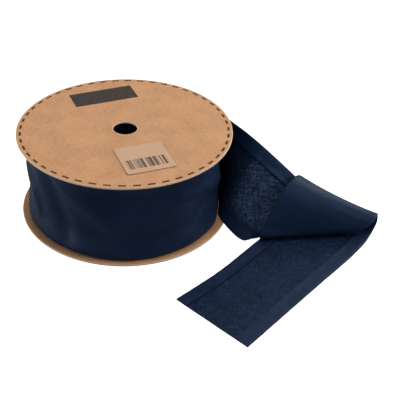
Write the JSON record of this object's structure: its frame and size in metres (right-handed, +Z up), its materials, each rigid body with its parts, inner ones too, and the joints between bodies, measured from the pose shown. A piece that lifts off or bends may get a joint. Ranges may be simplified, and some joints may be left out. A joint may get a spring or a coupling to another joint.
{
  "type": "reel of bias tape with its loose end",
  "caption": "Round reel of folded-edge bias tape: two card discs hold the wound navy cloth, and its loose end loops over itself and lies flat.",
  "frame": {"origin": "centre of the part's box, on the surface it stands on", "axes": "+Z up, along the reel's axis; the loose end lies towards +X and -Y"},
  "size_m": [0.2188, 0.1982, 0.0552],
  "materials": {
    "kraft_card": "matt uncoated kraft card",
    "navy_cotton": "plain-weave cotton cut on the bias, pressed smooth on the right side",
    "label_paper": "thin, slightly see-through, matt"
  },
  "bodies": {
    "root": {"flange_bottom": "kraft_card", "flange_top": "kraft_card", "wound_tape": "navy_cotton", "loose_end": "navy_cotton", "label": "label_paper"}
  },
  "joints": []
}
